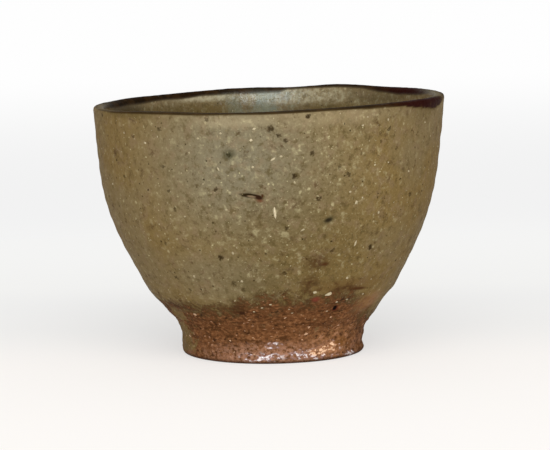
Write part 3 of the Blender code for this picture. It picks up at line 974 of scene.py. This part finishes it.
# The scar on the front and other single marks: (angle, height, half width, half height, tilt, core, tone)
MARKS = (
    (-93.2, 45.7, 1.4, 0.8, -10, 0.0, RED_BROWN),
    (-96.5, 47.0, 3.6, 0.8, -7, 0.4, linear(36, 25, 9)),
    (-93.7, 46.5, 1.7, 0.8, -14, 0.4, linear(42, 23, 11)),
    (-92.4, 46.9, 0.5, 0.7, 0, 0.2, linear(64, 38, 20)),
    # Painted highlight: the pale line along the scar's lower edge
    (-96.0, 46.75, 1.5, 0.36, -8, 0.4, linear(112, 92, 70)),
    (-69.9, 39.7, 1.6, 0.8, 15, 0.2, linear(40, 32, 20)),
    (-69.1, 27.9, 2.0, 0.9, 0, 0.1, linear(72, 45, 23)),
    (-49.0, 20.1, 4.4, 0.65, -3, 0.2, linear(72, 44, 21)),
    (-70.0, 18.1, 1.6, 1.1, 0, 0.2, linear(112, 56, 40)),
    (-57.2, 14.9, 1.3, 1.2, 0, 0.2, linear(104, 42, 26)),
    # Painted shade: the pit's near-black core
    (-57.3, 15.0, 0.85, 0.95, 0, 0.5, linear(18, 12, 9)),
)


def front_and_back(g):
    """1 at the middle of the front and back, where the glaze is most mottled, and 0 at the sides."""
    front = g.patch(-83, 45, 46, 50, core=0.3, deep=36)
    back = g.patch(84, 40, 40, 50, core=0.2, deep=30)
    return g.larger(front, back)


def ash_glaze(g):
    """Gritty olive ash glaze, with painted sheen, light and shade on the front: colour, and the fine and
    coarse noises that its relief follows.
    """
    fine = g.noise(0.6, 2, 0.6, shift=0.3)
    medium = g.noise(1.9, 3, 0.6, shift=2.0)
    coarse = g.noise(5.0, 4, 0.6, shift=0.7)
    broad = g.share(g.noise(24, 2, 0.5, shift=1.1), 0.40, 0.62, 0.3)
    # The front patch is partly a greyer glaze and partly a painted sheen; the low-left patch is painted
    # light on the lower left
    front = g.times(g.patch(-100, 56, 42, 37, core=0.0, deep=60), 0.9)
    painted_light_low_left = g.times(g.patch(-110, 25, 26, 13, core=0.2, deep=20), 0.45)
    colour = g.mix(g.larger(broad, g.larger(front, painted_light_low_left)), OLIVE, OLIVE_GREY)
    # Painted shade: the lower middle and right of the front are darkened
    colour = g.tint(colour, g.patch(-80, 33, 27, 28, core=0.2, deep=60), 0.32, OLIVE_DARK)
    colour = g.mix(g.share(coarse, 0.5, 0.72, 0.15), colour, UMBER)
    colour = g.mix(g.share(g.noise(3.0, 3, 0.6, shift=16.0), 0.5, 0.66, 0.4), colour, ROSE)
    lively = g.span(front_and_back(g), 0.0, 1.0, LEAST_LIVELY, 1.0, smooth=False)
    for noise_value, low, high, most, tone in (
        (medium, 0.48, 0.30, 0.65, OLIVE_DARK),
        (medium, 0.55, 0.72, 0.35, CREAM),
        (fine, 0.48, 0.30, 0.35, OLIVE_DARK),
        (fine, 0.58, 0.78, 0.35, CREAM),
    ):
        colour = g.tint(colour, g.share(noise_value, low, high, most), lively, tone)
    for *cells, strength in CREAM_SPECKS:
        fading = g.span(lively, LEAST_LIVELY, 1.0, 0.8 * strength, strength, smooth=False)
        colour = g.tint(colour, g.specks(*cells, soft=0.35, wobble=0.9), fading, CREAM)
    for *cells, strength in IRON_SPECKS:
        colour = g.tint(colour, g.specks(*cells, soft=0.35, wobble=0.9), strength, IRON)
    return colour, fine, coarse


def brown_earth(g):
    """Bare red-brown clay, grainy and a little layered by throwing, with dark pits and pale grit."""
    grain = g.noise(1.0, 3, 0.65, squash=1.5, shift=6.0)
    layers = g.noise(5.0, 4, 0.65, squash=3.0, shift=4.0)
    colour = g.mix(g.span(layers, 0.36, 0.56), LAYER_DARK, BROWN)
    # Painted shade, partly the clay's own tone: the clay is darker from 6 to 13 mm up
    colour = g.mix(g.share(g.axis("Z"), 6 * MM, 13 * MM, 0.2), colour, UPPER_CLAY_AND_SHADE)
    warm = g.patch(-50, 6, 15, 8, core=0.1, deep=20)
    colour = g.tint(colour, warm, 0.6, BROWN_WARM)
    clods = g.noise(1.9, 3, 0.6, squash=1.5, shift=18.0)
    for low, high, tone in ((0.47, 0.36, linear(70, 42, 23)), (0.54, 0.64, linear(182, 132, 98))):
        colour = g.tint(colour, g.share(clods, low, high, 0.75), warm, tone)
    colour = g.mix(g.share(grain, 0.52, 0.62, 0.6), colour, BROWN_WARM)
    colour = g.mix(g.share(grain, 0.47, 0.38, 0.6), colour, BROWN_DARK)
    for *cells, strength, tone in (
        (1.6, 0.60, 0.15, 0.50, 8.0, 0.65, linear(192, 146, 114)),
        (1.5, 0.60, 0.20, 0.50, 9.0, 0.9, linear(42, 24, 12)),
        (3.2, 0.60, 0.35, 0.75, 10.0, 0.8, linear(46, 27, 14)),
    ):
        colour = g.tint(colour, g.specks(*cells, soft=0.3, wobble=1.4, squash=1.5), strength, tone)
    return colour


def kiln_glass(g, colour):
    """The foot where ash has melted on it, in pale grains, silver and gold, with painted glints, a painted
    reflection low at the front and a painted shadow along the tread. Returns colour and shine.
    """
    level = g.axis("Z")
    grains = g.span(g.noise(1.0, 3, 0.65, shift=1.4), 0.36, 0.62)
    round_about = g.span(g.noise(9, 2, 0.5, shift=3.3), 0.46, 0.62, 0.0, 0.6)
    round_about = g.times(round_about, g.span(level, 2.0 * MM, 7.5 * MM, 1.0, 0.0))
    # The patch low on the front is partly pale ash flashing and partly a painted reflection of the bright
    # floor
    pale = g.larger(round_about, g.patch(-92, 2.0, 25, 5.2, core=0.3, deep=24))
    colour = g.tint(colour, g.times(pale, grains), 0.75, ASH_GRAIN)

    silver = g.patches(SILVER_RUNS)
    gold = g.patches(GOLD_RUNS)
    glass = g.larger(silver, gold)
    body = g.mix(gold, SILVER, GOLD)
    bright = g.mix(gold, SILVER_GLINT, GOLD_GLINT)
    colour = g.tint(colour, g.patch(-43, 4.5, 3.6, 2.0, core=0.2), 0.7, GOLD_SHADE)
    thick = g.maths("ADD", g.times(gold, 0.03), g.times(g.patches(SILVER_HEARTS, 0.3), 0.06))
    flow = g.maths("ADD", g.noise(1.6, 3, 0.65, squash=1.7, shift=41.5), thick)
    runs = g.times(glass, g.span(flow, 0.46, 0.56))
    # Painted highlights: bright glints painted on the silver and gold runs
    painted_glints = g.times(glass, g.span(flow, 0.56, 0.63))
    colour = g.tint(colour, runs, 0.7, body)
    colour = g.tint(colour, painted_glints, 0.85, bright)
    # Painted shadow: the foot darkens along its bottom edge, where it meets the table
    colour = g.mix(g.span(level, 0.3 * MM, 1.3 * MM, 0.75, 0.0), colour, TREAD_CONTACT_SHADOW)
    return colour, g.larger(g.times(runs, 0.5), painted_glints)


def green_film(g, colour, glaze):
    """A thin torn film of glaze on the foot's left side, with pale pearls in it."""
    film = g.patches(GREEN_FILM, 0.2)
    torn = g.span(g.noise(2.2, 4, 0.7, shift=33.0), 0.3, 0.7, -0.5, 0.5, smooth=False)
    film = g.span(g.maths("ADD", film, torn), 0.25, 0.65)
    film = g.times(film, g.span(g.axis("Z"), 12 * MM, 17 * MM, 1.0, 0.0))
    colour = g.tint(colour, film, 0.85, glaze)
    pearls = g.times(film, g.specks(1.6, 0.6, 0.25, 0.55, 23.0, 0.3, 0.9))
    return g.tint(colour, pearls, 0.6, PEARL)


def stoneware(name):
    """Ash glaze that thins to a burnt edge and then to bare brown clay, as the clay value rises."""
    g = Graph(name)
    glaze, fine, coarse = ash_glaze(g)
    glaze = g.tinged(glaze, LIP_TINGES, 20)
    glaze = g.mix(g.spots(DARK_SPOTS), glaze, IRON)
    smudge = g.larger(g.patch(-102.5, 57.6, 2.8, 2.2, 0, 0.0), g.patch(-69.8, 39.8, 2.6, 1.5, 25, 0.0))
    glaze = g.tint(glaze, smudge, 0.8, SMUDGE)
    glaze = iron_over(g, glaze)

    mottle = g.noise(2.4, 5, 0.75, shift=12.0)
    ragged = g.maths("ADD", g.value("clay"), g.span(mottle, 0.25, 0.75, -0.55, 0.55, smooth=False))
    edge = g.mix(g.span(ragged, 0.1, 0.5, 0.0, 0.8, smooth=False), glaze, BURNT)
    bare = g.span(ragged, 0.35, 0.8, smooth=False)
    colour = g.mix(bare, edge, brown_earth(g))
    colour = g.tinged(colour, FOOT_TINGES, 6)
    colour = g.mix(g.spots(CLAY_PITS), colour, PIT)
    colour, shine = kiln_glass(g, colour)
    colour = green_film(g, colour, glaze)
    stain = g.times(g.patches(STAINS, 0.0), g.span(g.noise(1.5, 3, 0.6, shift=7.7), 0.32, 0.55))
    colour = g.tint(colour, stain, 0.8, STAIN)
    for *patch, tone in MARKS:
        colour = g.mix(g.patch(*patch), colour, tone)

    g.glaze_over(shine, 0.12, 1.8, g.bump(g.noise(1.0, 2, 0.6, shift=9.0), 0.5, 0.9))
    rough = g.span(coarse, 0.3, 0.7, 0.52, 0.70, smooth=False)
    lumps = g.bump(g.noise(1.2, 4, 0.7, shift=9.0), 0.15, 0.7)
    crags = g.times(bare, g.noise(1.0, 4, 0.75, squash=1.5, shift=15.0))
    lumps = g.bump(crags, 0.5, 0.8, lumps)
    return g.finish(colour, rough, g.bump(fine, 0.10, 0.6, lumps), MATT)


def liner(name):
    """The same ash glaze, glossier, with a bluish pool at the back that is partly a painted reflection, a
    painted highlight under the lip and painted shade lower down, and iron and a pale crest at the lip,
    partly wear and partly painted highlight.
    """
    g = Graph(name)
    colour, fine, coarse = ash_glaze(g)
    mottle = g.noise(1.4, 3, 0.6, shift=27.0)
    colour = g.mix(g.share(mottle, 0.54, 0.68, 0.5), colour, LINER_PALE)
    colour = g.mix(g.share(mottle, 0.46, 0.34, 0.5), colour, OLIVE_DARK)
    # Painted highlight: a lighter band just under the lip at the back, and a patch of it further left
    painted_highlight_left = g.patch(114, 66.4, 16, 1.9, core=0.3, deep=12)
    painted_highlight_left = g.times(painted_highlight_left, g.span(mottle, 0.3, 0.6, 0.25, 0.75))
    light = g.patch(82, 65.8, 34, 3.8, core=0.4, deep=12)
    light = g.times(light, g.span(mottle, 0.36, 0.62, 0.15, 0.55))
    colour = g.mix(g.larger(light, painted_highlight_left), colour, LINER_HIGHLIGHT)
    # Painted shade: darker at the back right, and darker down the inner wall below the lit band under the
    # lip; the same depth lowers the coat there
    painted_shade_right = g.times(g.patch(41, 62, 22, 10, core=0.3, deep=14), 0.6)
    level = g.axis("Z")
    deep = g.times(g.share(level, 66 * MM, 62 * MM, 0.62), g.span(level, 42 * MM, 56 * MM, 0.25, 1.0))
    colour = g.mix(g.larger(painted_shade_right, deep), colour, OLIVE_DARK)
    # Painted shade on the inside at the back left, under the lip
    colour = g.tint(colour, g.patch(157, 64.5, 17, 5, core=0.4, deep=12), 0.85, LINER_SHADE)
    colour = iron_over(g, colour)
    # The crest's pale line, partly wear and partly a painted highlight
    colour = g.tint(colour, g.value("wear_and_highlight"), 0.8, WEAR_AND_HIGHLIGHT_GREY)
    # The bluish pool at the back is partly pooled glaze and partly a painted reflection of the window
    # lamp; the same patch carries more coat
    pool = g.patch(92, 56, 19, 50, core=0.2, deep=16)
    gloss = g.value("gloss")
    colour = g.tint(colour, g.times(pool, gloss), g.span(coarse, 0.4, 0.6, 0.0, 0.45), POOL_AND_REFLECTION_BLUE)

    rough = g.span(coarse, 0.3, 0.7, 0.50, 0.66, smooth=False)
    lumps = g.bump(g.noise(1.3, 4, 0.65, shift=9.0), 0.28, 0.7)
    run = g.span(pool, 0.0, 1.0, 0.35, 0.68)
    run = g.times(run, g.span(deep, 0.0, 0.62, 1.0, 0.25))
    ripples = g.bump(g.noise(1.1, 2, 0.5, shift=8.0), 0.16, 0.6, lumps)
    g.glaze_over(g.times(gloss, run), 0.18, 1.7, ripples)
    return g.finish(colour, rough, g.bump(fine, 0.10, 0.5, lumps), MATT)


def iron_over(g, under):
    """Dark iron on the lip with a thin brown fringe, browner in places and redder on the +X side."""
    iron = g.value("iron")
    under = g.mix(g.span(iron, 0.0, 0.5, 0.0, 0.9), under, LIP_FRINGE)
    colour = g.mix(g.span(g.noise(3.0, 4, 0.6, shift=0.5), 0.42, 0.66), LIP_IRON, LIP_BROWN)
    colour = g.tint(colour, g.span(g.axis("X"), 26 * MM, 39 * MM), 0.85, LIP_RED)
    return g.mix(g.span(iron, 0.2, 0.9), under, colour)


def bare_clay(name):
    """Brown unglazed clay with pale grit."""
    g = Graph(name)
    colour = g.mix(g.span(g.noise(2.2, 5, 0.65, shift=4.0), 0.36, 0.66), BROWN_DARK, BROWN)
    colour = g.tint(colour, g.span(g.noise(1.2, 4, 0.6, shift=6.0), 0.55, 0.75), 0.7, BROWN_WARM)
    colour = g.tint(colour, g.specks(2.4, 0.3, 0.15, 0.4, 8.0, 0.55, 0.5), 0.7, CLAY_GRIT)
    rough = g.span(g.noise(3.0, 3, shift=2.0), 0.3, 0.7, 0.5, 0.75, smooth=False)
    return g.finish(colour, rough, g.bump(g.noise(1.0, 4, 0.65, shift=9.0), 0.16, 0.6), 0.4)


def feldspar(name):
    """Pale grit, each stone with its own tint, and warmer down on the clay."""
    g = Graph(name)
    tint = g.value("tint")
    colour = g.mix(tint, STONE_DULL, STONE_PALE)
    colour = g.mix(g.span(g.axis("Z"), 12 * MM, 16 * MM, 0.75, 0.0), colour, STONE_WARM)
    colour = g.mix(g.share(g.noise(0.4, 3, shift=1.0), 0.5, 0.75, 0.4), colour, STONE_SPOT)
    rough = g.span(tint, 0.0, 1.0, 0.4, 0.6, smooth=False)
    return g.finish(colour, rough, g.bump(g.noise(0.35, 2, shift=2.0), 0.05, 0.5), 0.3)


# Pieces


def dress(obj, material, slot, *nodes):
    obj.data.materials.append(material)
    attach(obj, "root")
    if nodes:
        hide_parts(*nodes)


outside = coat_piece("glaze_outside", LINE, U_WASH, OUTSIDE_ROWS, with_clay=True)
dress(outside, stoneware("ash_glaze_outside"), "ash_glaze", "outer_glaze")
lip = coat_piece("iron_lip", U_WASH, U_REACH, LIP_ROWS)
dress(lip, liner("iron_wash_lip"), "iron_wash", "lip_wash")
inside = lining_piece("glaze_inside", U_REACH, INSIDE_ROWS)
dress(inside, liner("liner_glaze_inside"), "liner_glaze", "inner_glaze")
dress(fillet_piece("clay_fillet"), stoneware("clay_of_fillet"), "fillet_clay", "foot_fillet")
dress(foot_piece("clay_foot"), stoneware("clay_of_foot"), "foot_clay", "foot_ring")
dress(bowl_piece("clay_bowl"), bare_clay("clay_of_bowl"), "bowl_clay", "bowl")
dress(grit_piece("feldspar_grit"), feldspar("feldspar_stone"), "ash_glaze")


# Stage, in metres

FLOOR_SIZE = 12
FLOOR_DROP = 0.05 * MM
PAPER_FRONT = linear(252, 249, 247)
PAPER_BACK = linear(246, 246, 246)

# The background's tones from front to back: the first, then (where it starts, where it is full, tone). The
# grey tones around and behind the cup are painted shade.
GLOW_FRONT = linear(254, 251, 249)
GLOW_TONES = (
    (-0.03, 0.045, linear(241, 241, 241)),
    (0.08, 0.13, linear(245, 245, 244)),
    (0.18, 0.35, linear(242, 242, 242)),
    (0.4, 1.2, linear(254, 254, 254)),
)

# A camera far off, set by its focal length in pixels of a picture of this width
CAMERA_AT = (0.00119, -0.72, 0.1205)
CAMERA_PITCH = math.radians(6.85)
CAMERA_ROLL = math.radians(0.94)
FOCAL_PIXELS = 2678
PICTURE_PIXELS = 550
SENSOR = 36.0

# Lamps: (name, place, aim, width, height, power, colour)
LAMPS = (
    ("key", (0.05, -0.95, 1.0), (0, 0, 0.03), 1.1, 0.8, 8.2, (1.0, 0.975, 0.93)),
    ("window", (0.03, -1.5, 0.28), (0, 0, 0.05), 1.1, 0.5, 12.3, (0.77, 0.93, 1.0)),
)
WORLD_COLOUR = (1.0, 0.98, 0.94, 1.0)
WORLD_STRENGTH = 0.62


def floor():
    """A pale sheet that fades into a bright background behind the cup, greyed by painted shade around and
    behind it.
    """
    bpy.ops.mesh.primitive_plane_add(size=FLOOR_SIZE, location=(0, 0, -FLOOR_DROP))
    made = bpy.context.object
    made.name = "floor"
    g = Graph("pale_paper")
    y = g.axis("Y")
    paper = g.mix(g.span(y, -0.02, 0.12), PAPER_FRONT, PAPER_BACK)
    g.fill(g.shader, {"Base Color": paper, "Roughness": 0.9, "Specular IOR Level": 0.1})
    glow = GLOW_FRONT
    for first, last, tone in GLOW_TONES:
        glow = g.mix(g.span(y, first, last), glow, tone)
    backdrop = g.add("ShaderNodeEmission", {"Color": glow, "Strength": 1.0})
    path = g.add("ShaderNodeLightPath").outputs
    seen = g.larger(path["Is Camera Ray"], path["Is Glossy Ray"])
    seen = g.larger(seen, path["Is Transmission Ray"])
    share = g.times(seen, g.span(y, 0.02, 0.26, 0.62, 1.0))
    inputs = {0: share, 1: g.shader.outputs["BSDF"], 2: backdrop.outputs["Emission"]}
    both = g.add("ShaderNodeMixShader", inputs)
    g.fill(g.tree.nodes["Material Output"], {"Surface": both.outputs["Shader"]})
    made.data.materials.append(g.material)


def lamp(name, at, aim, width, height, power, colour):
    light = bpy.data.lights.new(name, "AREA")
    light.shape = "RECTANGLE"
    light.size = width
    light.size_y = height
    light.energy = power
    light.color = colour
    obj = place(name, light)
    obj.location = at
    obj.rotation_euler = (Vector(aim) - Vector(at)).to_track_quat("-Z", "Y").to_euler()


def camera():
    data = bpy.data.cameras.new("camera")
    data.sensor_width = SENSOR
    data.lens = FOCAL_PIXELS * SENSOR / PICTURE_PIXELS
    made = place("camera", data)
    pitch = Matrix.Rotation(math.pi / 2 - CAMERA_PITCH, 4, "X")
    roll = Matrix.Rotation(-CAMERA_ROLL, 4, "Z")
    made.matrix_world = Matrix.Translation(CAMERA_AT) @ pitch @ roll
    bpy.context.scene.camera = made


def world():
    made = bpy.data.worlds.new("studio")
    bpy.context.scene.world = made
    made.use_nodes = True
    shade = made.node_tree.nodes["Background"]
    shade.inputs["Color"].default_value = WORLD_COLOUR
    shade.inputs["Strength"].default_value = WORLD_STRENGTH


floor()
world()
camera()
for row in LAMPS:
    lamp(*row)
bpy.context.scene.view_settings.view_transform = "Standard"
